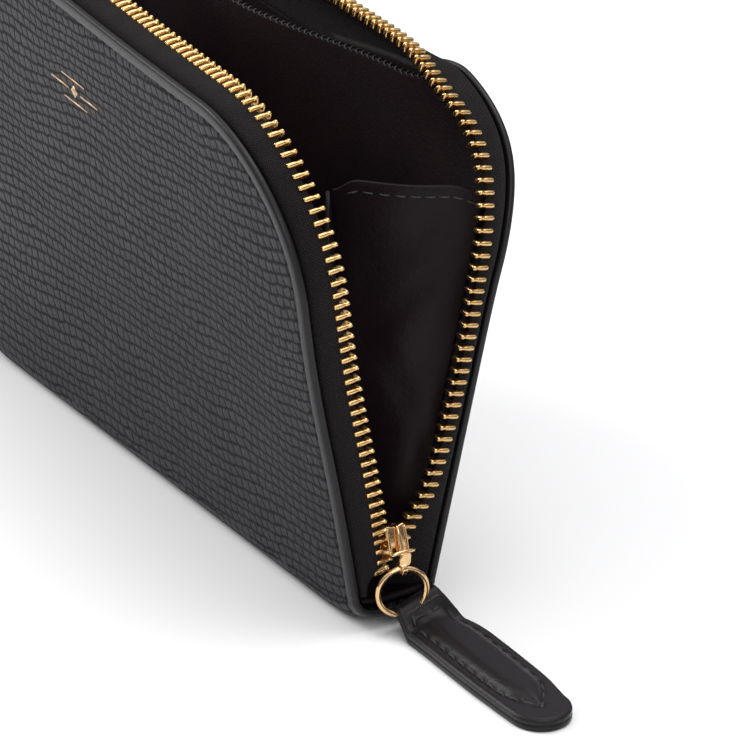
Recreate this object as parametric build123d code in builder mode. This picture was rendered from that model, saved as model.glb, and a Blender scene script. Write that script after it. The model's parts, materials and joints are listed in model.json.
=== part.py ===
"""A zip-around coin purse in grained leather, standing open, with its slider at the right-hand end.

X runs along the purse, with the slider at the +X end. The front faces -Y, and +Z is up.
The origin is on the surface that it stands on, under the middle of the base.
Each half is drawn as it lies when the purse is closed, on a plane that leans with the half.
"""

from math import cos, pi, radians, sin, tan
import os

from build123d import *

os.makedirs("parts", exist_ok=True)

# ---------------------------------------------------------------- driving dimensions, mm and degrees
HALF_LENGTH = 66.0
HEIGHT = 90.0
CORNER_RADIUS = 28.0
HALF_THICKNESS = 7.5

# The fold line of each half, and how far the half leans out from upright.
FOLD_Y = 6.0
FOLD_Z = 4.0
FRONT_LEAN = 9.1
BACK_LEAN = 13.0

COVER_BOTTOM = 4.3
LEATHER = 1.2
BOARD = 0.6
LINING = 0.7
EDGE_ROUND = 0.9

BASE_HALF_LENGTH = 65.5
BASE_TOP = 3.6
BASE_CORNER = 3.4
BASE_BOARD_HALF = 4.0
BASE_LINING_HALF = 5.3

TAPE = 0.6
TAPE_EDGE = 1.2
TOOTH_PITCH = 2.0
TOOTH_THICKNESS = 0.8
TOOTH_TIP = -0.6
TOOTH_ROOT = 2.4
TOOTH_OUTER = 1.0
TOOTH_INNER = 1.6
TOOTH_ROUND = 0.5
TOOTH_SLOT_ROOM = 0.05
STOP_THICKNESS = 1.4
TOP_STOP_TIP = 0.1
CHAIN_START = 11.5
STOP_DISTANCE = 9.2

STITCH_LENGTH = 2.1
STITCH_PITCH = 3.0
STITCH_WIDTH = 0.45
STITCH_RISE = 0.2
STITCH_INSET = 2.4
STITCH_START = 7.0

POCKET_TOP = 84.0
POCKET_BOTTOM = 8.0
POCKET_HALF = 60.0
POCKET_INSET = 2.0
POCKET_LEATHER = 0.8
POCKET_STITCH_HALF = 54.0

GUSSET_SHEET = 0.9
GUSSET_BOTTOM = 6.0
GUSSET_TOP = 74.0
GUSSET_EDGE_X = 61.5
GUSSET_DEPTH_LOW = 9.0
GUSSET_DEPTH_HIGH = 17.0
GUSSET_GAP = 0.4

SLIDER_Z = 15.0
SLIDER_LENGTH = 8.0
SLIDER_WIDE = 6.6
SLIDER_NARROW = 4.6
SLIDER_PLATE = 0.8
SLIDER_GAP = 0.2
SLIDER_ROUND = 0.9
POST_ABOVE = 1.9
POST_HALF_WIDTH = 0.8
POST_HALF_HEIGHT = 1.3
BRIDGE_TOP = 3.6
BRIDGE_FOOT = -0.7
BRIDGE_WIDTH = 1.0
BRIDGE_RISE = 1.9
BRIDGE_BAR = 0.7

LINK_BAR_RADIUS = 0.45
LINK_BAR_LENGTH = 4.2
LINK_BAR_ABOVE = 0.8
LINK_BAR_ROOM = 0.2
LINK_SLOPE = 80.0
LINK_REACH = 3.6
LINK_ARM = 0.6
LINK_HALF_WIDTH = 1.35
LINK_THICKNESS = 0.7
LINK_PLATE_FROM = 2.1
LINK_PLATE_TO = 2.6
EYE_WIDTH = 1.2
EYE_HOLE = 0.8
EYE_OUTER = 1.2

RING_RADIUS = 4.2
RING_WIRE = 0.55
RING_YAW = 14.0
RING_ROOM = 0.25

TAB_YAW = 1.2
TAB_LINE_Y = 3.2
TAB_START = 3.6
TAB_LENGTH = 37.0
TAB_START_WIDTH = 9.4
TAB_WIDTH = 10.8
TAB_TIP_RADIUS = 5.1
TAB_LAYER = 1.25
PAD_INSET = 2.6
PAD_RISE = 1.2
PAD_ROUND = 0.8
PAD_SKIN = 0.7
FILLER_ROOM = 0.05
TAB_STITCH_INSET = 1.5
TAB_STITCH_COUNT = 30
TAB_STITCH_LENGTH = 1.8
LOOP_WIDTH = 7.0
# The bent strap's side view: distance out from the ring, and height.
LOOP_PROFILE = [(-1.5, 6.3), (0.8, 6.5), (TAB_START, 2.5), (TAB_START, 0.0), (1.8, 0.2), (-1.5, 2.6)]

# ---------------------------------------------------------------- worked out from them
BOARD_OUT = HALF_THICKNESS - LEATHER
LINING_OUT = BOARD_OUT - BOARD
LINING_IN = LINING_OUT - LINING
TURN = HEIGHT - CORNER_RADIUS
CENTRE_X = HALF_LENGTH - CORNER_RADIUS
CHAIN_LENGTH = 2 * TURN + pi * CORNER_RADIUS + 2 * CENTRE_X
SLIDER_IN_X = HALF_LENGTH - TOOTH_INNER - SLIDER_GAP
SLIDER_OUT_X = HALF_LENGTH + TOOTH_OUTER + SLIDER_GAP
SLIDER_FACE_X = SLIDER_OUT_X + SLIDER_PLATE
BAR_X = SLIDER_FACE_X + LINK_BAR_RADIUS + LINK_BAR_ROOM
BAR_Z = SLIDER_Z + LINK_BAR_ABOVE
EYE_X = BAR_X + LINK_REACH * cos(radians(LINK_SLOPE))
EYE_Z = BAR_Z - LINK_REACH * sin(radians(LINK_SLOPE))


def half_plane(side, lean):
    """The closed purse's middle plane, carried with a half: local y is height, local z is outward."""
    outward = Vector(0, side * cos(radians(lean)), -sin(radians(lean)))
    upward = Vector(0, side * sin(radians(lean)), cos(radians(lean)))
    fold = Vector(0, side * FOLD_Y, FOLD_Z)
    return Plane(origin=fold - outward * FOLD_Y - upward * FOLD_Z, x_dir=(-side, 0, 0), z_dir=outward)


SIDES = {"front": -1, "back": 1}
PLANES = {"front": half_plane(-1, FRONT_LEAN), "back": half_plane(1, BACK_LEAN)}
LEANS = {"front": FRONT_LEAN, "back": BACK_LEAN}


def save(builder, name):
    builder.part.label = name
    export_step(builder.part, f"parts/{name}.step")


def outline(inset, bottom):
    """The cover's outline, moved in by inset: square at the foot, round at both top corners."""
    half = HALF_LENGTH - inset
    radius = CORNER_RADIUS - inset
    with BuildSketch(Plane.XY) as profile:
        with BuildLine():
            Line((-half, bottom), (half, bottom))
            Line((half, bottom), (half, TURN))
            JernArc((half, TURN), (0, 1), radius, 90)
            Line((CENTRE_X, TURN + radius), (-CENTRE_X, TURN + radius))
            JernArc((-CENTRE_X, TURN + radius), (-1, 0), radius, 90)
            Line((-half, TURN), (-half, bottom))
        make_face()
    return profile.sketch


def chain_point(distance):
    """A point on the outline and the angle of its outward direction, from the slider end's foot."""
    arc = CORNER_RADIUS * pi / 2
    if distance < TURN:
        return HALF_LENGTH, distance, 0.0
    if distance < TURN + arc:
        turned = (distance - TURN) / CORNER_RADIUS
        return CENTRE_X + CORNER_RADIUS * cos(turned), TURN + CORNER_RADIUS * sin(turned), turned
    if distance < CHAIN_LENGTH / 2:
        return CENTRE_X - (distance - TURN - arc), HEIGHT, pi / 2
    x, height, turned = chain_point(CHAIN_LENGTH - distance)
    return -x, height, pi - turned


def chain_plane(half, distance):
    """A plane across the outline: local x is away from the purse's middle, local y is outward."""
    plane, side = PLANES[half], SIDES[half]
    x, height, turned = chain_point(distance)
    away = plane.x_dir * (-side * cos(turned)) + plane.y_dir * sin(turned)
    origin = plane.origin + plane.x_dir * (-side * x) + plane.y_dir * height
    return Plane(origin=origin, x_dir=away, z_dir=away.cross(plane.z_dir))


def chain_planes(half, first, pitch):
    """Planes every pitch along the outline, as far from its far foot as first is from its near one."""
    count = int((CHAIN_LENGTH - 2 * first) / pitch) + 1
    return [chain_plane(half, first + pitch * step) for step in range(count)]


# ---------------------------------------------------------------- the two halves
def make_cover(half):
    """Outer leather, turned over the board's edge on its three free sides."""
    plane = PLANES[half]
    with BuildPart() as cover:
        with BuildSketch(plane.offset(LINING_OUT)):
            add(outline(0, COVER_BOTTOM))
        extrude(amount=HALF_THICKNESS - LINING_OUT)
        rim = cover.edges().group_by(Axis(plane.origin, plane.z_dir))[-1].sort_by(Axis.Z)[1:]
        fillet(rim, EDGE_ROUND)
        with BuildSketch(plane.offset(LINING_OUT)):
            add(outline(LEATHER, COVER_BOTTOM))
        extrude(amount=BOARD, mode=Mode.SUBTRACT)
    save(cover, f"{half}_cover")


def make_sheet(half, name, inner, thickness, inset):
    """A flat layer of a half, from inner outwards."""
    with BuildPart() as sheet:
        with BuildSketch(PLANES[half].offset(inner)):
            add(outline(inset, COVER_BOTTOM))
        extrude(amount=thickness)
    save(sheet, name)


def make_tape(half):
    """The woven tape: a wall along three sides, from under the cover's rim to the teeth."""
    with BuildPart() as tape:
        with BuildSketch(PLANES[half].offset(TAPE_EDGE)):
            add(outline(0, COVER_BOTTOM))
            add(outline(TAPE, COVER_BOTTOM - TAPE), mode=Mode.SUBTRACT)
        extrude(amount=LINING_OUT - TAPE_EDGE)
    save(tape, f"{half}_zip_tape")


def make_clips(planes, thickness, name, tip=TOOTH_TIP):
    """Metal pieces that grip the tape's edge: a head with a slot for the tape."""
    with BuildPart() as clips:
        with BuildSketch(*planes):
            with Locations(((TOOTH_OUTER - TOOTH_INNER) / 2, (TOOTH_ROOT + tip) / 2)):
                body = Rectangle(TOOTH_OUTER + TOOTH_INNER, TOOTH_ROOT - tip)
            fillet(body.vertices().group_by(Axis.Y)[0], TOOTH_ROUND)
            with Locations((-TAPE / 2, (TAPE_EDGE + TOOTH_ROOT) / 2)):
                Rectangle(TAPE + 2 * TOOTH_SLOT_ROOM, TOOTH_ROOT - TAPE_EDGE, mode=Mode.SUBTRACT)
        extrude(amount=thickness / 2, both=True)
    save(clips, name)


def make_edge_thread(half):
    """The row of stitches that follows the cover's edge."""
    with BuildPart() as thread:
        with BuildSketch(*chain_planes(half, STITCH_START, STITCH_PITCH)):
            with Locations((-STITCH_INSET, HALF_THICKNESS + STITCH_RISE / 2)):
                Rectangle(STITCH_WIDTH, STITCH_RISE)
        extrude(amount=STITCH_LENGTH / 2, both=True)
    save(thread, f"{half}_edge_thread")


def make_half(half):
    first = CHAIN_START + (TOOTH_PITCH / 2 if half == "back" else 0)
    make_cover(half)
    make_sheet(half, f"{half}_board", LINING_OUT, BOARD, LEATHER)
    make_sheet(half, f"{half}_lining", LINING_IN, LINING, TAPE + TOOTH_SLOT_ROOM)
    make_tape(half)
    make_clips(chain_planes(half, first, TOOTH_PITCH), TOOTH_THICKNESS, f"{half}_zip_teeth")
    top_stop = [chain_plane(half, CHAIN_LENGTH - STOP_DISTANCE)]
    make_clips(top_stop, STOP_THICKNESS, f"{half}_top_stop", TOP_STOP_TIP)
    make_edge_thread(half)


def make_bottom_stop():
    make_clips([chain_plane("front", STOP_DISTANCE)], STOP_THICKNESS, "zip_bottom_stop")


# ---------------------------------------------------------------- the base
def channel(half_width, low, corner):
    """The base's section, from low up to its top edge, with both lower corners round."""
    with BuildSketch(Plane.XY) as section:
        with Locations((0, (low + BASE_TOP) / 2)):
            Rectangle(2 * half_width, BASE_TOP - low)
        fillet(section.vertices().group_by(Axis.Y)[0], corner)
    return section.sketch


def make_base():
    with BuildPart() as leather:
        with BuildSketch(Plane.YZ):
            add(channel(HALF_THICKNESS, 0, BASE_CORNER))
            add(channel(HALF_THICKNESS - LEATHER, LEATHER, BASE_CORNER - LEATHER), mode=Mode.SUBTRACT)
        extrude(amount=BASE_HALF_LENGTH, both=True)
    save(leather, "base_leather")

    layers = {
        "base_board": (LEATHER, BOARD, BASE_BOARD_HALF),
        "base_lining": (LEATHER + BOARD, LINING, BASE_LINING_HALF),
    }
    for name, (low, thickness, half_width) in layers.items():
        with BuildPart() as layer:
            with BuildSketch(Plane.XY.offset(low)):
                Rectangle(2 * BASE_HALF_LENGTH, 2 * half_width)
            extrude(amount=thickness)
        save(layer, name)


# ---------------------------------------------------------------- inside
def lining_y(half, height):
    """How far out the gusset's edge lies at a height, just clear of the lining."""
    lean = radians(LEANS[half])
    inside = LINING_IN - GUSSET_GAP - FOLD_Y
    return SIDES[half] * (FOLD_Y + inside / cos(lean) + (height - FOLD_Z) * tan(lean))


def make_gusset(end, name):
    """A leather sheet folded in between the halves: a V in plan, deeper at the top."""
    with BuildPart() as gusset:
        for height, depth in ((GUSSET_BOTTOM, GUSSET_DEPTH_LOW), (GUSSET_TOP, GUSSET_DEPTH_HIGH)):
            front, back = lining_y("front", height), lining_y("back", height)
            fold_x = GUSSET_EDGE_X - depth
            edge = [(GUSSET_EDGE_X, front), (fold_x, 0), (GUSSET_EDGE_X, back)]
            inner = [(x - GUSSET_SHEET, y) for x, y in reversed(edge)]
            with BuildSketch(Plane.XY.offset(height)):
                with BuildLine():
                    Polyline([(end * x, y) for x, y in edge + inner], close=True)
                make_face()
        loft(ruled=True)
    save(gusset, name)


def make_pocket():
    plane = PLANES["back"]
    height = POCKET_TOP - POCKET_BOTTOM
    with BuildPart() as pocket:
        with BuildSketch(plane.offset(LINING_IN - POCKET_LEATHER)):
            add(outline(POCKET_INSET, POCKET_BOTTOM))
            with Locations((0, POCKET_BOTTOM + height / 2)):
                Rectangle(2 * POCKET_HALF, height, mode=Mode.INTERSECT)
        extrude(amount=POCKET_LEATHER)
    save(pocket, "back_pocket")

    count = int(2 * POCKET_STITCH_HALF / STITCH_PITCH)
    with BuildPart() as thread:
        with BuildSketch(plane.offset(LINING_IN - POCKET_LEATHER - STITCH_RISE)):
            with Locations((0, POCKET_TOP - STITCH_INSET)):
                with GridLocations(STITCH_PITCH, STITCH_PITCH, count, 1):
                    Rectangle(STITCH_LENGTH, STITCH_WIDTH)
        extrude(amount=STITCH_RISE)
    save(thread, "pocket_thread")


# ---------------------------------------------------------------- the slider and its pull
def shield():
    """The slider's plate: wide where the halves part, narrow where they are joined."""
    low, high = SLIDER_Z - SLIDER_LENGTH / 2, SLIDER_Z + SLIDER_LENGTH / 2
    with BuildSketch(Plane.XY) as plate:
        with BuildLine():
            corners = [(-SLIDER_NARROW / 2, low), (SLIDER_NARROW / 2, low)]
            corners += [(SLIDER_WIDE / 2, high), (-SLIDER_WIDE / 2, high)]
            Polyline(corners, close=True)
        make_face()
        fillet(plate.vertices(), SLIDER_ROUND)
    return plate.sketch


def make_slider():
    """Two plates held by a post between the tapes, and a bridge that holds the pull."""
    post_z = SLIDER_Z + POST_ABOVE
    bridge_x = SLIDER_FACE_X + BRIDGE_RISE
    top, foot = SLIDER_Z + BRIDGE_TOP, SLIDER_Z + BRIDGE_FOOT
    with BuildPart() as slider:
        for inner_x in (SLIDER_IN_X - SLIDER_PLATE, SLIDER_OUT_X):
            with BuildSketch(Plane.YZ.offset(inner_x)):
                add(shield())
            extrude(amount=SLIDER_PLATE)
        with BuildSketch(Plane.YZ.offset(SLIDER_IN_X)):
            with Locations((0, post_z)):
                Ellipse(POST_HALF_WIDTH, POST_HALF_HEIGHT)
        extrude(amount=SLIDER_OUT_X - SLIDER_IN_X)
        with BuildSketch(Plane.XZ):
            with Locations(((SLIDER_FACE_X + bridge_x) / 2, (top + foot) / 2)):
                arch = Rectangle(BRIDGE_RISE, top - foot)
            fillet(arch.vertices().group_by(Axis.X)[-1], BRIDGE_BAR)
            with Locations(((SLIDER_FACE_X + bridge_x - BRIDGE_BAR) / 2, (top + foot) / 2)):
                Rectangle(BRIDGE_RISE - BRIDGE_BAR, top - foot - 2 * BRIDGE_BAR, mode=Mode.SUBTRACT)
        extrude(amount=BRIDGE_WIDTH / 2, both=True)
    save(slider, "slider_body")


def make_link():
    """The pull link: a bar under the bridge, two arms round it, and an eye for the ring."""
    slope = radians(LINK_SLOPE)
    along = Vector(cos(slope), 0, -sin(slope))
    side_view = Plane(origin=(BAR_X, 0, BAR_Z), x_dir=along, z_dir=(0, -1, 0))
    arm_middle = LINK_HALF_WIDTH - LINK_ARM / 2
    with BuildPart() as link:
        with BuildSketch(side_view):
            Circle(LINK_BAR_RADIUS)
        extrude(amount=LINK_BAR_LENGTH / 2, both=True)
        with BuildSketch(side_view.offset(arm_middle), side_view.offset(-arm_middle)):
            with Locations((LINK_PLATE_TO / 2, 0)):
                Rectangle(LINK_PLATE_TO, LINK_THICKNESS)
        extrude(amount=LINK_ARM / 2, both=True)
        with BuildSketch(side_view):
            with Locations(((LINK_PLATE_FROM + LINK_PLATE_TO) / 2, 0)):
                Rectangle(LINK_PLATE_TO - LINK_PLATE_FROM, LINK_THICKNESS)
        extrude(amount=LINK_HALF_WIDTH, both=True)
        with BuildSketch(side_view):
            with Locations((LINK_REACH, 0)):
                Circle(EYE_OUTER)
                Circle(EYE_HOLE, mode=Mode.SUBTRACT)
        extrude(amount=EYE_WIDTH / 2, both=True)
    save(link, "pull_link")


def ring_planes():
    """The ring's own plane, and a plane across its wire at its lowest point."""
    across = Vector(sin(radians(RING_YAW)), cos(radians(RING_YAW)), 0)
    middle = Vector(EYE_X, 0, EYE_Z - RING_RADIUS)
    facing = across.cross(Vector(0, 0, 1))
    return Plane(origin=middle, x_dir=across, z_dir=facing), Plane(origin=middle, x_dir=facing, z_dir=across)


RING_PLANE, WIRE_PLANE = ring_planes()
RING_AXIS = Axis(RING_PLANE.origin, RING_PLANE.z_dir)


def make_ring(wire_radius):
    with BuildPart() as ring:
        with BuildSketch(WIRE_PLANE):
            with Locations((0, RING_RADIUS)):
                Circle(wire_radius)
        revolve(axis=RING_AXIS)
    return ring


TAB_PLANE = Plane(
    origin=(EYE_X, TAB_LINE_Y, 0),
    x_dir=(cos(radians(TAB_YAW)), sin(radians(TAB_YAW)), 0),
    z_dir=(0, 0, 1),
)


def tab_outline(inset):
    """The tab in plan, from its cross stitching to its round tip."""
    tip_centre = TAB_START + TAB_LENGTH - TAB_TIP_RADIUS
    middle = (TAB_START + tip_centre) / 2
    start, widest = TAB_START_WIDTH / 2, TAB_WIDTH / 2
    with BuildSketch(Plane.XY) as plan:
        with BuildLine():
            Line((TAB_START, start), (TAB_START, -start))
            ThreePointArc((TAB_START, -start), (middle, -widest), (tip_centre, -TAB_TIP_RADIUS))
            RadiusArc((tip_centre, -TAB_TIP_RADIUS), (tip_centre, TAB_TIP_RADIUS), -TAB_TIP_RADIUS)
            ThreePointArc((tip_centre, TAB_TIP_RADIUS), (middle, widest), (TAB_START, start))
        make_face()
        if inset:
            offset(amount=-inset, mode=Mode.REPLACE)
    return plan.sketch


def make_tab():
    pad_top = 2 * TAB_LAYER + PAD_RISE
    with BuildPart() as bottom:
        with BuildSketch(TAB_PLANE):
            add(tab_outline(0))
        extrude(amount=TAB_LAYER)
    save(bottom, "pull_tab_bottom")

    with BuildPart() as top:
        with BuildSketch(TAB_PLANE.offset(TAB_LAYER)):
            add(tab_outline(0))
        extrude(amount=TAB_LAYER)
        with BuildSketch(TAB_PLANE.offset(2 * TAB_LAYER)):
            add(tab_outline(PAD_INSET))
        extrude(amount=PAD_RISE)
        fillet(top.edges().group_by(Axis.Z)[-1], PAD_ROUND)
        with BuildSketch(TAB_PLANE.offset(TAB_LAYER)):
            add(tab_outline(PAD_INSET + PAD_SKIN))
        extrude(amount=TAB_LAYER + PAD_RISE - PAD_SKIN, mode=Mode.SUBTRACT)
    save(top, "pull_tab_top")

    with BuildPart() as filler:
        with BuildSketch(TAB_PLANE.offset(TAB_LAYER)):
            add(tab_outline(PAD_INSET + PAD_SKIN + FILLER_ROOM))
        extrude(amount=pad_top - PAD_SKIN - TAB_LAYER - FILLER_ROOM)
    save(filler, "pull_tab_filler")

    seam = tab_outline(TAB_STITCH_INSET).face().outer_wire().moved(TAB_PLANE.offset(2 * TAB_LAYER).location)
    places = [step / TAB_STITCH_COUNT for step in range(TAB_STITCH_COUNT)]
    across = [Plane(seam.position_at(t), x_dir=(0, 0, 1), z_dir=seam.tangent_at(t)) for t in places]
    with BuildPart() as thread:
        with BuildSketch(*across):
            with Locations((STITCH_RISE / 2, 0)):
                Rectangle(STITCH_RISE, STITCH_WIDTH)
        extrude(amount=TAB_STITCH_LENGTH / 2, both=True)
    save(thread, "pull_tab_thread")


def make_loop():
    """The strap's bend, with the ring's wire lying in it."""
    side_view = Plane(origin=TAB_PLANE.origin, x_dir=TAB_PLANE.x_dir, z_dir=-TAB_PLANE.y_dir)
    with BuildPart() as loop:
        with BuildSketch(side_view):
            with BuildLine():
                Polyline(LOOP_PROFILE, close=True)
            make_face()
        extrude(amount=LOOP_WIDTH / 2, both=True)
        add(make_ring(RING_WIRE + RING_ROOM).part, mode=Mode.SUBTRACT)
    save(loop, "pull_tab_loop")


for half in SIDES:
    make_half(half)
make_bottom_stop()
make_base()
make_gusset(1, "right_gusset")
make_gusset(-1, "left_gusset")
make_pocket()
make_slider()
make_link()
save(make_ring(RING_WIRE), "pull_ring")
make_tab()
make_loop()
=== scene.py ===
"""The coin purse's looks: grained leather covers, a metal zip, folded gussets and a stitched leather pull.

Lengths are in metres in the frame's axes. Each half is drawn as it lies when the purse is closed: x along
the purse, height up it and out away from its middle plane. place() then leans it out about its fold line.
"""

import json
import math

import bmesh
import bpy
import numpy as np
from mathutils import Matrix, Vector


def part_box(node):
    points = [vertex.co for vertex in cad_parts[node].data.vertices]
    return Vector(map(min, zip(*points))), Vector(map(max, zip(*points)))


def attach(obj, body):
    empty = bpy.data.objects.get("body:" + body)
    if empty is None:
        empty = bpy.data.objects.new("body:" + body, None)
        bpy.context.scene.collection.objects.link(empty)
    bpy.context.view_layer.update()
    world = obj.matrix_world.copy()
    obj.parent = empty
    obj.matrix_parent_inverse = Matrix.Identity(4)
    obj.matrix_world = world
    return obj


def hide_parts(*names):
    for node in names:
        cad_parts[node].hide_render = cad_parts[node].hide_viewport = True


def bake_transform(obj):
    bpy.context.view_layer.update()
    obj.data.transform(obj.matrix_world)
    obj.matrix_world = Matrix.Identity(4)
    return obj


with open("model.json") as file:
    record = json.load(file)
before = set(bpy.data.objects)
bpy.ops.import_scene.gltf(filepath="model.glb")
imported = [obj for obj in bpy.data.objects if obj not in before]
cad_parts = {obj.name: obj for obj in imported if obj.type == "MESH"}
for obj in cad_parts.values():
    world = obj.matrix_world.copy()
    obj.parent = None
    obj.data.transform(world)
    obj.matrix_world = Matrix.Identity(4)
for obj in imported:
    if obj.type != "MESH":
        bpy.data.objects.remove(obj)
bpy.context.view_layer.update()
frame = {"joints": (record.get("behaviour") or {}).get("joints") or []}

MM = 0.001
RANDOM = np.random.default_rng(7)

# ---- sizes, from the frame and the CAD part
JOINTS = {joint["name"]: joint for joint in frame["joints"]}
_, FOLD_Y, FOLD_Z = JOINTS["back_close"]["pos_m"]
LEAN = {
    "front": math.radians(JOINTS["front_close"]["range_deg"][1]),
    "back": math.radians(JOINTS["back_close"]["range_deg"][1]),
}
SIDE = {"front": -1.0, "back": 1.0}
HALF_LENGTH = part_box("front_cover")[1][0]
HEIGHT = 90 * MM
CORNER = 28 * MM
HALF_THICK = 7.5 * MM
LINING_OUT = 5.0 * MM
TURN = HEIGHT - CORNER
CENTRE_X = HALF_LENGTH - CORNER
ARC = CORNER * math.pi / 2
CHAIN = 2 * TURN + 2 * ARC + 2 * CENTRE_X
COVER_FOOT = 4.3 * MM
BAND_WIDTH = 2.3 * MM

# The front half is a little less open towards its far end.
TWIST_START = HALF_LENGTH
TWIST_END = -200 * MM

TOOTH_PITCH = 2.0 * MM
CHAIN_START = 11.5 * MM


def ease(t):
    t = np.clip(t, 0, 1)
    return t * t * (3 - 2 * t)


def bump_at(value, middle, width):
    """A smooth hump of height 1 at middle."""
    return np.exp(-((value - middle) / width) ** 2)


def place(half, x, height, out):
    """Closed-purse coordinates to the frame, with the half leaning out."""
    x, height, out = np.broadcast_arrays(*(np.asarray(v, float) for v in (x, height, out)))
    lean = LEAN[half] * np.ones_like(x)
    if half == "front":
        lean = lean * (1 - ease((x - TWIST_START) / (TWIST_END - TWIST_START)))
    dy, dz = out - FOLD_Y, height - FOLD_Z
    y = FOLD_Y + dy * np.cos(lean) + dz * np.sin(lean)
    z = FOLD_Z - dy * np.sin(lean) + dz * np.cos(lean)
    return np.stack([x, SIDE[half] * y, z], -1)


def end_rise(x):
    """How far the bottom curls up off the floor towards its two ends."""
    return 2.6 * MM * np.clip((np.abs(x) - 54 * MM) / (12 * MM), 0, 1) ** 2


def leather(half, x, height, out, sag=1.0):
    """place() for the soft layers, which bow out where they have relaxed. The back's top sinks by its sag."""
    x, height = np.asarray(x, float), np.asarray(height, float)
    height = height + sag * end_rise(x) * (1 - ease((height - COVER_FOOT) / (24 * MM)))
    if half == "front":
        bow = 0.9 * MM * bump_at(height, 50 * MM, 20 * MM) * bump_at(x, HALF_LENGTH, 26 * MM)
        return place(half, x, height, out + bow)
    corner = ((np.abs(x) - 58 * MM) ** 2 + (height - 80 * MM) ** 2) / (14 * MM) ** 2
    low_top = ease((46 * MM - np.abs(x)) / (14 * MM)) * ease((height - 70 * MM) / (18 * MM))
    return place(half, x, height - 2.6 * MM * low_top * sag, out + 2.2 * MM * np.exp(-corner))


def rim(distance):
    """x, height and outward angle on the outline, by the distance from its foot at the slider's end."""
    s = np.asarray(distance, float)
    near = np.minimum(s, CHAIN - s)
    turned = np.clip((near - TURN) / CORNER, 0, math.pi / 2)
    x = CENTRE_X + CORNER * np.cos(turned) - np.clip(near - TURN - ARC, 0, None)
    height = np.minimum(near, TURN) + CORNER * np.sin(turned)
    far = s > CHAIN / 2
    return np.where(far, -x, x), height, np.where(far, math.pi - turned, turned)


def rim_point(half, distance, away, out, sag=1.0):
    """A point of the half, given its distance along the outline and how far outside the outline it is."""
    x, height, angle = rim(distance)
    return leather(half, x + away * np.cos(angle), height + away * np.sin(angle), out, sag)


# ---- meshes
def shade_smooth(mesh):
    mesh.polygons.foreach_set("use_smooth", [True] * len(mesh.polygons))


def link_object(name, data):
    thing = bpy.data.objects.new(name, data)
    bpy.context.scene.collection.objects.link(thing)
    return thing


def make_object(name, points, faces, uv=None):
    mesh = bpy.data.meshes.new(name)
    mesh.from_pydata([tuple(p) for p in points], [], [tuple(f) for f in faces])
    if uv is not None:
        layer = mesh.uv_layers.new(name="mm")
        loops = np.empty(len(mesh.loops), dtype=np.int32)
        mesh.loops.foreach_get("vertex_index", loops)
        layer.data.foreach_set("uv", np.asarray(uv, float)[loops].ravel())
    shade_smooth(mesh)
    mesh.validate()
    return link_object(name, mesh)


def grid_faces(rows, columns, close_rows=False, close_columns=False, first=0):
    faces = []
    for i in range(rows if close_rows else rows - 1):
        for j in range(columns if close_columns else columns - 1):
            a, b = i * columns + j, i * columns + (j + 1) % columns
            c = ((i + 1) % rows) * columns + (j + 1) % columns
            d = ((i + 1) % rows) * columns + j
            faces.append((first + a, first + b, first + c, first + d))
    return faces


def end_caps(rows, columns):
    """Faces that close a tube of rows x columns points at both ends."""
    return [tuple(range(columns)), tuple((rows - 1) * columns + j for j in reversed(range(columns)))]


def grid_object(name, points, uv_u, uv_v, caps=False, **closing):
    """A surface from an array of rows x columns points. uv_u and uv_v are lengths in metres."""
    rows, columns = points.shape[:2]
    uv = np.stack(np.broadcast_arrays(uv_u, uv_v), -1).reshape(-1, 2) / MM
    faces = grid_faces(rows, columns, **closing)
    if caps:
        faces += end_caps(rows, columns)
    return make_object(name, points.reshape(-1, 3), faces, uv)


def bake_modifiers(piece):
    """Puts the modifiers' result into the mesh."""
    graph = bpy.context.evaluated_depsgraph_get()
    graph.update()
    final = bpy.data.meshes.new_from_object(piece.evaluated_get(graph))
    piece.modifiers.clear()
    old, piece.data = piece.data, final
    bpy.data.meshes.remove(old)
    return piece


def thicken(piece, thickness, offset=-1.0):
    solid = piece.modifiers.new("thickness", "SOLIDIFY")
    solid.thickness = thickness
    solid.offset = offset
    solid.use_even_offset = True
    return bake_modifiers(piece)


def soften(piece, width=0.0, segments=2, levels=0, angle=30):
    """Bevels sharp edges, then subdivides."""
    if width:
        bevel = piece.modifiers.new("bevel", "BEVEL")
        bevel.width = width
        bevel.segments = segments
        bevel.limit_method = "ANGLE"
        bevel.angle_limit = math.radians(angle)
    if levels:
        subdivision = piece.modifiers.new("subdivision", "SUBSURF")
        subdivision.levels = subdivision.render_levels = levels
    return bake_modifiers(piece)


def fix_normals(piece):
    edit = bmesh.new()
    edit.from_mesh(piece.data)
    bmesh.ops.recalc_face_normals(edit, faces=edit.faces)
    edit.to_mesh(piece.data)
    edit.free()
    return piece


def face_toward(piece, axis, sign, face=0):
    """Turns all normals over if the given face's looks the other way along the axis."""
    fix_normals(piece)
    if piece.data.polygons[face].normal[axis] * sign < 0:
        piece.data.flip_normals()


def merge_copies(name, pattern, places):
    """One object made of copies of a pattern (points, faces, uv), each with its own placing function."""
    points, faces, uv = pattern
    all_points, all_faces, all_uv = [], [], []
    for number, put in enumerate(places):
        first = number * len(points)
        all_points.append(put(points))
        all_faces += [tuple(first + v for v in face) for face in faces]
        all_uv.append(uv)
    piece = make_object(name, np.concatenate(all_points), all_faces, np.concatenate(all_uv))
    return fix_normals(piece)


def spline(points, count):
    """A smooth line through points, by Catmull-Rom, evenly sampled in its parameter."""
    p = np.asarray(points, float)
    p = np.vstack([2 * p[0] - p[1], p, 2 * p[-1] - p[-2]])
    t = np.linspace(0, len(points) - 1 - 1e-9, count)
    i = t.astype(int)
    f = (t - i)[:, None]
    a, b, c, d = p[i], p[i + 1], p[i + 2], p[i + 3]
    return 0.5 * (2 * b + (c - a) * f + (2 * a - 5 * b + 4 * c - d) * f**2 + (3 * b - a - 3 * c + d) * f**3)


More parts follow.
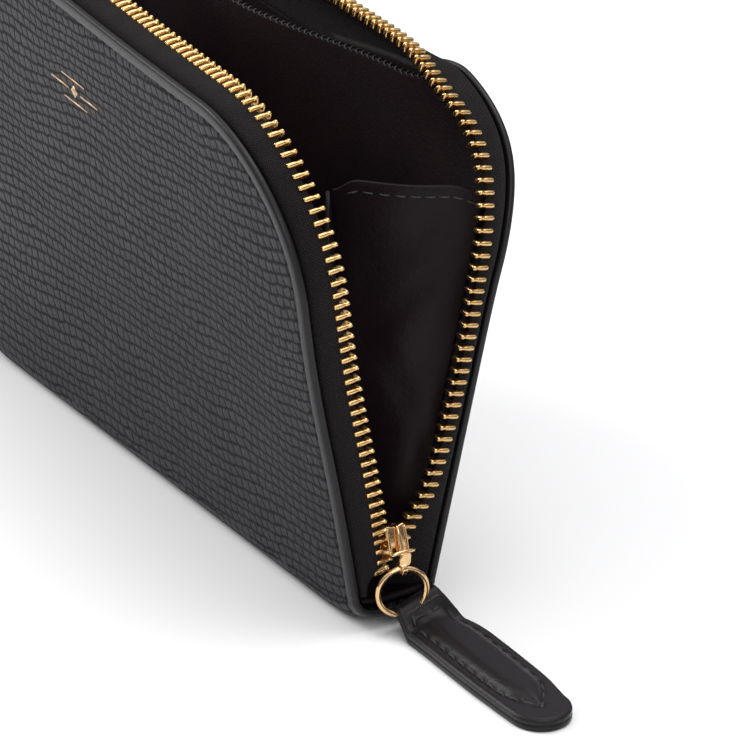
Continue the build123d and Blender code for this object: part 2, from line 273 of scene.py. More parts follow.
def smooth_through(value, pairs):
    """A smooth curve through pairs of millimetres, held level beyond its ends."""
    dense = spline(pairs, 40 * len(pairs))
    return np.interp(np.asarray(value, float) / MM, dense[:, 0], dense[:, 1]) * MM


def line_length(points):
    steps = np.linalg.norm(np.diff(points, axis=0), axis=1)
    return np.concatenate([[0], np.cumsum(steps)])


# ---- materials
def colour_ramp(tree, value, stops):
    """A colour ramp of (position, colour) stops, driven by a socket."""
    node = tree.nodes.new("ShaderNodeValToRGB")
    while len(node.color_ramp.elements) < len(stops):
        node.color_ramp.elements.new(0.5)
    for element, (position, colour) in zip(node.color_ramp.elements, stops):
        element.position = position
        element.color = (*colour, 1)
    tree.links.new(value, node.inputs[0])
    return node.outputs[0]


class Shader:
    """A node material, built a node at a time."""

    def __init__(self, name):
        self.material = bpy.data.materials.new(name)
        self.material.use_nodes = True
        self.tree = self.material.node_tree
        self.surface = self.tree.nodes["Principled BSDF"]
        self.set(self.surface)

    def set(self, node, **inputs):
        for key, value in inputs.items():
            socket = node.inputs[int(key[1:])] if key[0] == "_" else node.inputs[key.replace("_", " ")]
            if isinstance(value, bpy.types.NodeSocket):
                self.tree.links.new(value, socket)
            else:
                socket.default_value = value
        return node

    def add(self, kind, output=0, options=None, **inputs):
        node = self.tree.nodes.new("ShaderNode" + kind)
        for key, value in (options or {}).items():
            setattr(node, key, value)
        self.set(node, **inputs)
        return node.outputs[output]

    def math(self, operation, a, b=0.0):
        return self.add("Math", options={"operation": operation}, _0=a, _1=b)

    def total(self, *terms):
        """The sum of (value, weight) terms. A third number is taken off the value first."""
        whole = None
        for value, weight, *middle in terms:
            if middle:
                value = self.math("SUBTRACT", value, middle[0])
            part = self.math("MULTIPLY", value, weight)
            whole = part if whole is None else self.math("ADD", whole, part)
        return whole

    def uv(self):
        coordinates = self.add("UVMap", options={"uv_map": "mm"})
        return self.add("Mapping", Vector=coordinates, Scale=(1, 1, 1), Rotation=(0, 0, 0))

    def split_uv(self):
        """The mesh's own coordinates in millimetres, apart: along and across."""
        return [self.add("SeparateXYZ", output=axis, Vector=self.uv()) for axis in (0, 1)]

    def place(self):
        """Object coordinates in millimetres."""
        coordinates = self.add("TexCoord", output="Object")
        return self.add("Mapping", Vector=coordinates, Scale=(1 / MM, 1 / MM, 1 / MM))

    def noise(self, vector, scale, detail=3.0, roughness=0.55):
        return self.add("TexNoise", Vector=vector, Scale=scale, Detail=detail, Roughness=roughness)

    def ramp(self, value, *stops):
        return colour_ramp(self.tree, value, stops)

    def range(self, value, low, high, to_low=0.0, to_high=1.0):
        options = {"interpolation_type": "SMOOTHSTEP"}
        return self.add("MapRange", options=options, _0=value, _1=low, _2=high, _3=to_low, _4=to_high)

    def bump(self, height, depth, strength):
        """A bump of a height field of 0 to 1, depth metres deep."""
        return self.add("Bump", Height=height, Distance=depth, Strength=strength)


def grey(value):
    return (value, value, value)


def grain_leather():
    """Embossed calf: rows of small pebbles, with deep creases between rows and shallow ones along them."""
    s = Shader("grain_leather")
    moved = s.uv()
    for scale, detail, reach in ((0.035, 1.0, 6.0), (0.42, 2.0, 1.15)):
        wander = s.add("TexNoise", output="Color", Vector=s.uv(), Scale=scale, Detail=detail)
        moved = s.add("VectorMath", options={"operation": "MULTIPLY_ADD"}, _0=wander, _1=(reach, reach, 0.0),
                      _2=moved)
    cells = s.add("Mapping", Vector=moved, Rotation=(0, 0, math.radians(-6)))
    along = s.add("SeparateXYZ", output=0, Vector=cells)
    across = s.math("DIVIDE", s.add("SeparateXYZ", output=1, Vector=cells), 2.0)
    row, in_row = s.math("FLOOR", across), s.math("FRACT", across)
    stagger = s.math("MULTIPLY", s.math("FRACT", s.math("MULTIPLY", row, 0.618)), 1.4)
    slanted = s.math("ADD", along, s.math("MULTIPLY", in_row, 0.5))
    column = s.math("DIVIDE", s.math("ADD", slanted, stagger), 2.3)
    in_column = s.math("FRACT", column)
    to_row, to_column = (s.math("SUBTRACT", 0.5, s.math("ABSOLUTE", s.math("SUBTRACT", v, 0.5)))
                         for v in (in_row, in_column))
    row_dome = s.range(to_row, 0.0, 0.26)
    column_dome = s.range(to_column, 0.0, 0.22, 0.45, 1.0)
    dome = s.math("MULTIPLY", row_dome, column_dome)
    wrinkle = s.noise(s.add("Mapping", Vector=moved, Scale=(1.5, 0.8, 1)), 1.3, 5.0, 0.65)
    pores = s.noise(s.uv(), 4.5, 2.0)
    relief = s.total((dome, 0.8), (wrinkle, 0.6), (pores, 0.10))
    broad = s.noise(s.uv(), 0.05, 2.0)
    # Painted shade and light in the colour: darker in the creases between pebbles (dome) and lighter on each
    # pebble's upper side (in_row), as light from above falls.
    tone = s.total((dome, 0.42), (broad, 0.3, 0.5), (in_row, 0.26), (wrinkle, 0.75, 0.5), (pores, 0.45, 0.5))
    colour = s.ramp(tone, (0.0, (0.0016, 0.0010, 0.0018)), (0.45, (0.0140, 0.0118, 0.0158)),
                    (1.0, (0.0520, 0.0470, 0.0570)))
    rough = s.range(dome, 0.0, 1.0, 0.78, 0.46)
    s.set(s.surface, Base_Color=colour, Roughness=rough, Normal=s.bump(relief, 0.75 * MM, 1.0),
          Specular_IOR_Level=0.22)
    return s.material


def smooth_leather(name, low, high, roughness, crease=0.6, tint=(1.1, 1.0, 1.1), shine=0.2):
    """Smooth calf with fine creases and pores."""
    s = Shader(name)
    where = s.place()
    folds = s.noise(where, 0.9, 5.0, 0.62)
    pores = s.add("TexVoronoi", options={"feature": "F1"}, Vector=where, Scale=2.2, Randomness=1.0)
    fine = s.noise(where, 5.0, 3.0)
    height = s.total((folds, crease), (pores, 0.40), (fine, 0.15))
    broad = s.noise(where, 0.07, 2.0)
    colour = s.ramp(s.total((broad, 0.6), (folds, 0.4)), (0.3, [low * t for t in tint]),
                    (0.7, [high * t for t in tint]))
    rough = s.range(fine, 0.3, 0.7, roughness - 0.06, roughness + 0.08)
    s.set(s.surface, Base_Color=colour, Roughness=rough, Normal=s.bump(height, 0.08 * MM, 0.8),
          Specular_IOR_Level=shine)
    return s.material


def zip_tape():
    """Herringbone weave, a thread about 0.35 mm wide."""
    s = Shader("zip_tape")
    along, across = s.split_uv()
    chevron = s.math("PINGPONG", across, 1.1)
    slant = s.math("ADD", along, chevron)
    ribs, threads, picks = (s.math("SINE", s.math("MULTIPLY", value, 2 * math.pi / pitch))
                            for value, pitch in ((slant, 0.55), (across, 0.30), (along, 0.26)))
    weave = s.total((ribs, 0.17), (threads, 0.12), (picks, 0.08))
    fuzz = s.noise(s.uv(), 2.6, 5.0, 0.75)
    height = s.math("ADD", s.math("ADD", weave, 0.05), s.math("MULTIPLY", fuzz, 0.9))
    colour = s.ramp(height, (0.1, (0.0022, 0.0016, 0.0018)), (0.55, (0.0095, 0.0072, 0.0080)),
                    (1.0, (0.036, 0.029, 0.031)))
    s.set(s.surface, Base_Color=colour, Normal=s.bump(height, 0.22 * MM, 1.0), Roughness=0.85,
          Specular_IOR_Level=0.12, Sheen_Weight=0.02, Sheen_Roughness=0.5)
    return s.material


def gold(name, roughness, colour):
    """Polished pale gold plating with faint handling marks."""
    s = Shader(name)
    where = s.place()
    marks = s.noise(where, 1.4, 6.0, 0.7)
    scratches = s.noise(s.add("Mapping", Vector=where, Scale=(6, 0.6, 1.5)), 2.0, 3.0)
    dark = tuple(c * 0.82 for c in colour)
    tone = s.ramp(marks, (0.25, dark), (0.6, colour))
    rough = s.range(scratches, 0.3, 0.75, roughness, roughness + 0.14)
    s.set(s.surface, Base_Color=tone, Roughness=rough, Normal=s.bump(marks, 0.006 * MM, 0.35), Metallic=1.0)
    return s.material


def thread_material(name, dark, pale):
    """Waxed thread, with its twist."""
    s = Shader(name)
    along, across = s.split_uv()
    twist = s.math("SINE", s.math("MULTIPLY", s.math("ADD", along, s.math("MULTIPLY", across, 0.8)), 14.0))
    fuzz = s.noise(s.place(), 6.0)
    height = s.math("ADD", s.math("MULTIPLY", twist, 0.4), fuzz)
    colour = s.ramp(height, (0.0, grey(dark)), (1.0, grey(pale)))
    s.set(s.surface, Base_Color=colour, Normal=s.bump(height, 0.05 * MM, 0.8), Roughness=0.55,
          Specular_IOR_Level=0.35)
    return s.material


def floor_material():
    s = Shader("floor")
    paper = s.noise(s.place(), 0.02, 3.0)
    s.set(s.surface, Base_Color=s.ramp(paper, (0.2, grey(0.835)), (0.8, grey(0.845))), Roughness=0.9,
          Specular_IOR_Level=0.1)
    return s.material


GRAIN = grain_leather()
BAND = smooth_leather("band_leather", 0.0080, 0.0140, 0.36, 0.35, shine=0.24)
# The lining, pocket and gusset leathers are a dark brown of their own, made darker still as painted shade for
# the purse's shaded inside.
LINING = smooth_leather("lining_leather", 0.0022, 0.0042, 0.52, 0.8, (2.1, 1.0, 1.2), 0.10)
GUSSET = smooth_leather("pocket_leather", 0.0024, 0.0048, 0.50, 0.8, (2.1, 1.0, 1.2), 0.12)
GUSSET_LEATHER = smooth_leather("gusset_leather", 0.0030, 0.0062, 0.42, 1.3, (1.8, 1.0, 1.25), 0.14)
TAB = smooth_leather("tab_leather", 0.0070, 0.0125, 0.40, 0.5, (1.2, 1.0, 1.15), 0.18)
EDGE_PAINT = smooth_leather("edge_paint", 0.005, 0.008, 0.33, 0.2, shine=0.25)
TAPE = zip_tape()
TEETH_METAL = gold("zip_metal", 0.19, (0.76, 0.49, 0.21))
GILT = gold("gilt_metal", 0.13, (0.80, 0.53, 0.27))
FOIL = gold("foil", 0.32, (0.62, 0.43, 0.26))
THREAD = thread_material("thread", 0.004, 0.05)
PALE_THREAD = thread_material("pale_thread", 0.03, 0.12)


def finish_piece(piece, material, slot, body, *nodes, span=None):
    """Gives a piece its material and hides the CAD nodes it stands for. The slot is not used.

    With a span, two points, or on the front half, the piece is not attached to a body: its place is baked
    into its mesh, and the span's points are not used. Other pieces are attached to their body.
    """
    piece.data.materials.clear()
    piece.data.materials.append(material)
    if nodes:
        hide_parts(*nodes)
    if body == "front_half" and not span:
        span = (TWIST_START, 0, 0), (TWIST_END, 0, 0)
    if span:
        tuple(span[0])
        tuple(span[1])
        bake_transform(piece)
    else:
        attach(piece, body)
    return piece


# ---- covers
# The rolled edge's section: how far it is outside the outline, and how far under the leather's face.
BAND_SECTION = spline([(-2.35, 0.6), (-2.3, 0.18), (-2.05, 0.0), (-1.2, -0.06), (-0.5, 0.0), (-0.12, 0.25),
                       (0, 0.65), (-0.08, 1.05), (-0.4, 1.25), (-1.0, 1.2), (-1.6, 1.1)], 26) * MM


def panel_points(inset, foot, rows, arc_columns, flat_columns):
    """x and height of a grid that fills the outline, moved in by inset, in upright columns."""
    turned = np.linspace(math.pi / 2, 0, arc_columns)
    reach = CORNER - inset
    right_x = CENTRE_X + reach * np.sin(turned)
    right_top = TURN + reach * np.cos(turned)
    flat_x = np.linspace(CENTRE_X, -CENTRE_X, flat_columns)[1:-1]
    x = np.concatenate([right_x, flat_x, -right_x[::-1]])
    top = np.concatenate([right_top, np.full(len(flat_x), TURN + reach), right_top[::-1]])
    share = np.linspace(0, 1, rows)[:, None]
    height = foot + (top - foot) * share
    return np.broadcast_to(x, height.shape), height, np.broadcast_to(top, height.shape)


def edge_distance(x, height, inset):
    """How far a point is inside the outline that is moved in by inset."""
    side = HALF_LENGTH - inset - np.abs(x)
    up = HEIGHT - inset - height
    corner_x, corner_h = np.abs(x) - CENTRE_X, height - TURN
    round_part = CORNER - inset - np.hypot(np.clip(corner_x, 0, None), np.clip(corner_h, 0, None))
    return np.where((corner_x > 0) & (corner_h > 0), round_part, np.minimum(side, up))


def swell_at(x, height):
    """How far a cover's padded middle stands out from its flat."""
    inside = edge_distance(x, height, BAND_WIDTH)
    return 0.22 * MM * ease(inside / (14 * MM)) * (1 + 0.5 * np.sin(x * 38) * np.sin(height * 55 + 1))


def make_cover(half):
    body = half + "_half"
    x, height, _ = panel_points(BAND_WIDTH, COVER_FOOT, 90, 26, 90)
    inside = edge_distance(x, height, BAND_WIDTH)
    groove = -0.30 * MM * bump_at(inside, 0, 0.35 * MM)
    points = leather(half, x, height, HALF_THICK + swell_at(x, height) + groove)
    panel = grid_object(half + "_panel", points, x, height)
    face_toward(panel, 1, SIDE[half])
    thicken(panel, 1.1 * MM)
    finish_piece(panel, GRAIN, "grain_leather", body, half + "_cover", half + "_board")

    distance = np.linspace(COVER_FOOT, CHAIN - COVER_FOOT, 260)[:, None]
    points = rim_point(half, distance, BAND_SECTION[:, 0], HALF_THICK - BAND_SECTION[:, 1])
    band = grid_object(half + "_edge_band", points, distance, line_length(BAND_SECTION), close_columns=True,
                       caps=True)
    finish_piece(fix_normals(band), BAND, "grain_leather", body)


def stitch_row(name, frames, length, radius):
    """A row of stitches: short fat threads that dive into the leather at both ends."""
    rows, columns = 7, 8
    t = np.linspace(-1, 1, rows)
    turn = np.linspace(0, 2 * math.pi, columns, endpoint=False)
    fat = radius * np.sqrt(np.clip(1 - (t * 0.92) ** 4, 0, 1))
    along = np.repeat(t * length / 2, columns)
    across = np.outer(fat, np.cos(turn)).ravel()
    up = (np.outer(fat, np.sin(turn)) - (radius * 1.3 * np.abs(t) ** 3)[:, None]).ravel()
    faces = grid_faces(rows, columns, close_columns=True)
    faces += end_caps(rows, columns)
    pattern = np.stack([along, across, up], -1)
    uv = np.stack([along, np.tile(turn * radius, rows)], -1) / MM

    def placing(origin, direction, lift):
        side = np.cross(lift, direction)
        basis = np.stack([direction, side, lift])
        return lambda points: origin + points @ basis

    places = [placing(*parts) for parts in frames]
    return merge_copies(name, (pattern, faces, uv), places)


def make_stitches(name, frames, body, length, radius, node):
    return finish_piece(stitch_row(name, frames, length, radius), THREAD, "thread", body, node)


def surface_frames(point_at, stations, step, lift_at):
    """Origin, direction and lift at each station of a line on a surface."""
    frames = []
    for s in stations:
        before, after = point_at(s - step), point_at(s + step)
        direction = (after - before) / np.linalg.norm(after - before)
        lift = lift_at(s)
        lift = lift - direction * np.dot(lift, direction)
        frames.append((point_at(s), direction, lift / np.linalg.norm(lift)))
    return frames


def make_edge_stitches(half):
    inset = -BAND_WIDTH - 0.05 * MM

    def point_at(s):
        return rim_point(half, s, inset, HALF_THICK - 0.16 * MM)

    def lift_at(s):
        return rim_point(half, s, inset, HALF_THICK + MM) - rim_point(half, s, inset, HALF_THICK)

    stations = np.arange(COVER_FOOT + 2 * MM, CHAIN - COVER_FOOT, 2.75 * MM)
    frames = surface_frames(point_at, stations, 0.3 * MM, lift_at)
    make_stitches(half + "_edge_stitches", frames, half + "_half", 2.0 * MM, 0.17 * MM,
                  half + "_edge_thread")


# ---- base
def base_profile(drop, count=40):
    """The bottom's section in y and z, from the front fold under to the back fold, moved in by drop."""
    front = place("front", HALF_LENGTH, COVER_FOOT + 0.1 * MM, HALF_THICK)[1:] / MM
    back = place("back", HALF_LENGTH, COVER_FOOT + 0.1 * MM, HALF_THICK)[1:] / MM
    line = spline([(front[0], front[1] + 0.05), (-7.4, 3.0), (-6.4, 1.3), (-4.7, 0.28), (-2.9, 0.0), (0, 0.0),
                   (2.9, 0.0), (4.7, 0.28), (6.4, 1.3), (7.4, 3.0), (back[0], back[1] + 0.05)], count) * MM
    tangent = np.gradient(line, axis=0)
    tangent /= np.linalg.norm(tangent, axis=1)[:, None]
    inward = np.stack([-tangent[:, 1], tangent[:, 0]], -1)
    return line + inward * drop, inward


def curl_ends(points):
    """Lifts the bottom's ends, following both halves' lean where it meets them."""
    x, y, z = points[..., 0], points[..., 1], points[..., 2]
    lean = np.where(y < 0, -math.sin(LEAN["front"]), math.sin(LEAN["back"])) * ease(z / COVER_FOOT)
    return np.stack([x, y + end_rise(x) * lean, z + end_rise(x)], -1)


def make_base():
    profile, inward = base_profile(0.02 * MM)
    end = HALF_LENGTH - BAND_WIDTH
    x = np.linspace(-end, end, 120)
    near_end = bump_at(end, np.abs(x), 0.35 * MM)
    profile = profile[None] + inward[None] * (0.28 * MM * near_end)[:, None, None]
    across = np.broadcast_to(x[:, None, None], (*profile.shape[:2], 1))
    points = curl_ends(np.concatenate([across, profile], -1))
    arc = line_length(profile[60])
    wrap = grid_object("base_wrap", points, x[:, None], -arc[None, :])
    face_toward(wrap, 2, -1, len(wrap.data.polygons) // 2)
    thicken(wrap, 1.1 * MM)
    finish_piece(wrap, GRAIN, "grain_leather", "base", "base_leather", "base_board")

    clear_of_floor = 0.015 * MM
    section = np.stack([BAND_SECTION[:, 0], np.maximum(BAND_SECTION[:, 1], clear_of_floor)], -1)
    line, inward = base_profile(0.0, 60)
    for sign, end_name in ((1, "right"), (-1, "left")):
        x = np.broadcast_to(sign * (HALF_LENGTH + section[:, 0]), (60, len(section)))
        yz = line[:, None, :] + inward[:, None, :] * section[None, :, 1, None]
        points = curl_ends(np.concatenate([x[..., None], yz], -1))
        band = grid_object(end_name + "_foot_band", points, line_length(line)[:, None], line_length(section),
                           close_columns=True, caps=True)
        finish_piece(fix_normals(band), BAND, "grain_leather", "base")

    low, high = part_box("base_lining")
    x = np.linspace(low[0], high[0], 40)[:, None]
    y = np.linspace(-6.0 * MM, 6.0 * MM, 16)[None, :]
    z = high[2] + 0.8 * MM * (np.abs(y) / (6 * MM)) ** 3 + 0.08 * MM * np.sin(x * 90) + end_rise(x)
    points = np.stack(np.broadcast_arrays(x, y, z), -1)
    floor = thicken(grid_object("base_lining_sheet", points, x, y), 0.7 * MM)
    finish_piece(floor, LINING, "lining_leather", "base", "base_lining")


# ---- lining and pocket
def slack_at(x, start, run):
    """0 to 1: how slack a lining is along its top, from start towards the far end."""
    return ease((start - x) / run) * ease((x + 58 * MM) / (30 * MM))


def make_lining(half):
    x, height, _ = panel_points(0.9 * MM, COVER_FOOT, 60, 18, 60)
    ripple = 0.10 * MM * np.sin(x * 70 + height * 40) * np.sin(height * 90)
    sink = 5.8 * MM * slack_at(x, 38 * MM, 46 * MM) * ease((height - 30 * MM) / (59 * MM))
    points = leather(half, x, height - sink, LINING_OUT + ripple)
    sheet = grid_object(half + "_lining_sheet", points, x, height)
    face_toward(sheet, 1, -SIDE[half])
    thicken(sheet, 0.65 * MM)
    finish_piece(sheet, LINING, "lining_leather", half + "_half", half + "_lining")


def pocket_point(x, height, inward):
    """A point of the slip pocket: its mouth sinks and gapes forward towards the far end."""
    near_top = ease((height - 34 * MM) / (52 * MM))
    sink = 5.0 * MM * slack_at(x, 36 * MM, 54 * MM) * near_top
    gape = 3.0 * MM * bump_at(x, -14 * MM, 25 * MM) * near_top**2
    fold = 0.12 * MM * np.sin(x * 160 + height * 60) * near_top
    return leather("back", x, height - sink, LINING_OUT - 0.72 * MM - gape - fold - inward)


def make_pocket():
    low, high = 8 * MM, 87 * MM
    half_width = 60 * MM
    x = np.linspace(half_width, -half_width, 110)[None, :]
    share = np.linspace(0, 1, 70)[:, None]
    top = np.minimum(high, TURN + np.sqrt(np.clip((CORNER - 2 * MM) ** 2
                     - np.clip(np.abs(x) - CENTRE_X, 0, None) ** 2, 0, None)))
    height = low + (top - low) * share
    x = np.broadcast_to(x, height.shape)
    sheet = grid_object("back_pocket_sheet", pocket_point(x, height, 0), x, height)
    face_toward(sheet, 1, -1)
    thicken(sheet, 0.8 * MM, 1.0)
    soften(sheet, 0.25 * MM, 3)
    finish_piece(sheet, GUSSET, "lining_leather", "back_half", "back_pocket")

    def edge_height(s):
        return high - 0.25 * MM - 3.0 * MM * ease((np.abs(s) - 40 * MM) / (16 * MM))

    def overcast(s):
        """A thread wound over the mouth's edge, one turn every 1.6 mm."""
        turn = s / (1.6 * MM) * 2 * math.pi
        lift, inward = 0.42 * MM * np.sin(turn), 0.4 * MM - 0.62 * MM * np.cos(turn)
        return pocket_point(s, edge_height(s) + lift, inward)

    stations = np.arange(-50 * MM, 50 * MM, 0.1 * MM)
    thread = tube("pocket_overcast", [overcast(s) for s in stations], 0.15 * MM, 6)
    finish_piece(thread, PALE_THREAD, "thread", "back_half", "pocket_thread")


# ---- gussets
GUSSET_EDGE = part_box("right_gusset")[1][0]
GUSSET_LOW, GUSSET_HIGH = 5 * MM, 73.5 * MM


def gusset_point(half, end, across, up):
    """A point of a gusset leaf: across runs 0 at the cover's edge to 1 at the fold, up 0 at the foot to 1."""
    height = GUSSET_LOW + (GUSSET_HIGH - GUSSET_LOW) * up
    height = height - 1.6 * MM * up * bump_at(across, 0.0, 0.14)
    if half == "front":
        height = height - up**2 * (2.2 * MM + 18 * MM * ease((1 - across) / 0.7))
    else:
        height = height - 2.2 * MM * up**2 * ease((across - 0.78) / 0.22) ** 2
    depth = (9 + 8 * up) * MM
    edge_y = np.abs(place(half, HALF_LENGTH, height, LINING_OUT - 0.35 * MM)[..., 1])
    x = GUSSET_EDGE - depth * (across - 0.06 * np.sin(across * math.pi) * 2)
    y = edge_y * (1 - across) ** 1.08
    turned = bump_at(across, 1, 0.17)
    y = y + 0.15 * MM * turned
    sag = 0.9 * MM * np.sin(across * math.pi) * np.sin(up * math.pi * 0.9)
    wave = 0.38 * MM * np.sin(up * 17 + across * 6) * np.sin(across * math.pi)
    crease = 0.55 * MM * bump_at(up + 0.30 * across, 0.86, 0.05)
    crease += 0.45 * MM * bump_at(up - 0.35 * across, 0.33, 0.06)
    x = x + sag + wave + 1.3 * MM * turned - crease * np.sin(across * math.pi)
    return np.stack([end * x, SIDE[half] * y, height], -1)


def make_gusset(end, end_name):
    for half in ("front", "back"):
        across = np.linspace(0, 1, 36)[None, :] * np.ones((70, 1))
        up = np.linspace(0, 1, 70)[:, None] * np.ones((1, 36))
        points = gusset_point(half, end, across, up)
        leaf = grid_object(f"{end_name}_gusset_{half}_leaf", points, across * 24 * MM, up * 68 * MM)
        face_toward(leaf, 0, end, 100)
        thicken(leaf, 0.8 * MM)
        soften(leaf, 0.3 * MM, 3)
        span = (end * (GUSSET_EDGE - 0.5 * MM), 0, 0), (end * (GUSSET_EDGE - 10 * MM), 0, 0)
        finish_piece(leaf, GUSSET_LEATHER, "lining_leather", half + "_half", end_name + "_gusset", span=span)
        if half == "back":
            make_gusset_stitches(end, end_name, span)


def make_gusset_stitches(end, end_name, span):
    """The row of stitches under the back leaf's top edge."""
    top_line, step = 1 - 1.9 * MM / (GUSSET_HIGH - GUSSET_LOW), 0.02

    def point_at(a, up=top_line):
        return gusset_point("back", end, np.float64(a), np.float64(up))

    def lift_at(a):
        lift = np.cross(point_at(a + step) - point_at(a), point_at(a) - point_at(a, top_line - step))
        return lift * np.sign(lift[0] * end) / np.linalg.norm(lift)

    def raised(a):
        return point_at(a) + lift_at(a) * 0.06 * MM

    frames = surface_frames(raised, np.arange(0.08, 0.96, 0.098), 0.01, lift_at)
    piece = stitch_row(end_name + "_gusset_stitches", frames, 2.0 * MM, 0.17 * MM)
    finish_piece(piece, THREAD, "thread", "back_half", span=span)


# ---- zip
def chain_shift(half, distance):
    """How far a row stands off its straight line, outwards and away from the outline, where it bows."""
    near = np.minimum(distance, CHAIN - distance)
    curl = -5.5 * MM * ease((11.5 * MM - near) / (7.2 * MM)) - 1.5 * MM * ease((23 * MM - near) / (9 * MM))
    if half == "front":
        return -0.5 * MM * bump_at(near, 13 * MM, 5 * MM), curl
    bow = smooth_through(near, [
        (4, -1.6), (12, -2.0), (17, -1.2), (24, 0.5), (31, 1.3), (38, 1.7), (46, 1.9), (54, 1.7), (61, 1.2),
        (68, 0.6), (76, -0.1), (83, -0.8), (91, -1.1), (100, -0.6), (108, 0)])
    return bow, curl - 1.7 * MM * bump_at(near, 96 * MM, 9 * MM)


def make_tape(half):
    """The woven tape: sewn flat between cover and lining, then turned over to the teeth."""
    section = spline([(-7.5, 5.4), (-4.0, 5.45), (-1.6, 5.75), (-0.5, 5.65), (0.25, 5.1), (0.7, 4.2),
                      (0.85, 3.2), (0.8, 2.2), (0.7, 1.1)], 26) * MM
    distance = np.linspace(COVER_FOOT, CHAIN - COVER_FOOT, 340)[:, None]
    share = np.clip((5.5 * MM - section[:, 1]) / (4.2 * MM), 0, 1) * (section[:, 0] > -1.6 * MM)
    pucker = 0.10 * MM * np.sin(distance / MM * 0.9) * np.sin(share * math.pi)
    out_shift, away_shift = chain_shift(half, distance)
    points = rim_point(half, distance, section[:, 0] + pucker + away_shift * share,
                       section[:, 1] + out_shift * share, 1 - share)
    tape = grid_object(half + "_tape", points, distance, line_length(section))
    face_toward(tape, 0, 1, 20)
    thicken(tape, 0.5 * MM)
    finish_piece(tape, TAPE, "zip_tape", half + "_half", half + "_zip_tape")


def tooth_pattern(thick=1.0):
    """One tooth in (away, out, along) axes: a leg that grips the tape, a waist and a round domed head."""
    sections = [  # out, half thickness along the tape, low and high away from it, all in mm
        (2.42, 0.42, -1.05, 0.80), (2.36, 0.50, -1.12, 0.90), (1.6, 0.52, -1.15, 0.95),
        (0.95, 0.51, -1.15, 0.97), (0.55, 0.42, -1.05, 0.86), (0.25, 0.39, -1.0, 0.82),
        (0.0, 0.46, -1.1, 0.98), (-0.28, 0.47, -1.1, 1.0), (-0.5, 0.38, -0.95, 0.86), (-0.62, 0.2, -0.6, 0.5),
    ]
    count = 12
    turn = (np.arange(count) + 0.5) * 2 * math.pi / count
    square = 3.4
    c, s = np.cos(turn), np.sin(turn)
    size = (np.abs(c) ** square + np.abs(s) ** square) ** (-1 / square)
    points = []
    for out, half_thick, low, high in sections:
        middle, reach = (low + high) / 2, (high - low) / 2
        points += [(middle + reach * a * k, out, half_thick * thick * b * k) for a, b, k in zip(c, s, size)]
    rows = len(sections)
    faces = grid_faces(rows, count, close_columns=True)
    faces += [tuple(reversed(range(count))), tuple((rows - 1) * count + j for j in range(count))]
    points = np.array(points) * MM
    return points, faces, points[:, :2] / MM


def tooth_placing(half, distance, tilt=0.0):
    """Puts a tooth's points at a distance along the half's row."""
    x, height, angle = rim(distance)
    out_shift, away_shift = chain_shift(half, distance)

    def put(points):
        away = points[:, 0] + 0.5 * MM + away_shift
        along = points[:, 2] + points[:, 1] * tilt
        px = x + away * np.cos(angle) - along * np.sin(angle)
        ph = height + away * np.sin(angle) + along * np.cos(angle)
        return leather(half, px, ph, points[:, 1] + out_shift, 0)

    return put


def make_teeth(half):
    first = CHAIN_START + (TOOTH_PITCH / 2 if half == "back" else 0)
    stations = np.arange(first, CHAIN - first + 0.1 * MM, TOOTH_PITCH)

    wobble = RANDOM.normal(0.08 if half == "front" else 0.0, 0.012, len(stations))
    places = [tooth_placing(half, s, tilt) for s, tilt in zip(stations, wobble)]
    row = merge_copies(half + "_teeth", tooth_pattern(), places)
    soften(row, 0.0, levels=1)
    finish_piece(row, TEETH_METAL, "zip_metal", half + "_half", half + "_zip_teeth")


def make_stop(name, half, distance, node):
    stop = merge_copies(name, tooth_pattern(thick=1.75), [tooth_placing(half, distance)])
    soften(stop, levels=1)
    finish_piece(stop, TEETH_METAL, "zip_metal", half + "_half", node)


# ---- slider and pull
def extrude_outline(name, outline, low, high, to_frame, bevel=0.12 * MM, levels=0):
    """A flat plate: an outline in two axes, from low to high in the third, put into the frame."""
    count = len(outline)
    points = [(*p, low) for p in outline] + [(*p, high) for p in outline]
    faces = [tuple(range(count)), tuple(reversed(range(count, 2 * count)))]
    faces += [(i, (i + 1) % count, count + (i + 1) % count, count + i) for i in range(count)]
    points = np.array([to_frame(*p) for p in points])
    piece = make_object(name, points, faces, points[:, :2] / MM)
    fix_normals(piece)
    return soften(piece, bevel, 3, levels) if bevel else piece


def join(name, pieces):
    """Several meshes as one object."""
    edit = bmesh.new()
    for piece in pieces:
        edit.from_mesh(piece.data)
        bpy.data.objects.remove(piece)
    mesh = bpy.data.meshes.new(name)
    edit.to_mesh(mesh)
    edit.free()
    shade_smooth(mesh)
    return link_object(name, mesh)


def tube(name, line, radius, sides=12, closed=False, flat=1.0, up=(0, 0, 1)):
    """A round or flattened bar along a line of points."""
    line = np.asarray(line, float)
    if closed:
        tangent = np.roll(line, -1, 0) - np.roll(line, 1, 0)
    else:
        tangent = np.gradient(line, axis=0)
    tangent /= np.linalg.norm(tangent, axis=1)[:, None]
    side = np.cross(tangent, np.asarray(up, float))
    side /= np.linalg.norm(side, axis=1)[:, None]
    lift = np.cross(side, tangent)
    turn = np.linspace(0, 2 * math.pi, sides, endpoint=False)
    radius = np.broadcast_to(np.asarray(radius, float), len(line))
    ring = side[:, None, :] * np.cos(turn)[None, :, None]
    ring = ring + lift[:, None, :] * (np.sin(turn) * flat)[None, :, None]
    points = line[:, None, :] + ring * radius[:, None, None]
    lengths = np.arange(len(line))[:, None] * MM
    piece = grid_object(name, points, lengths, turn[None, :] * MM, caps=not closed, close_columns=True,
                        close_rows=closed)
    return fix_normals(piece)


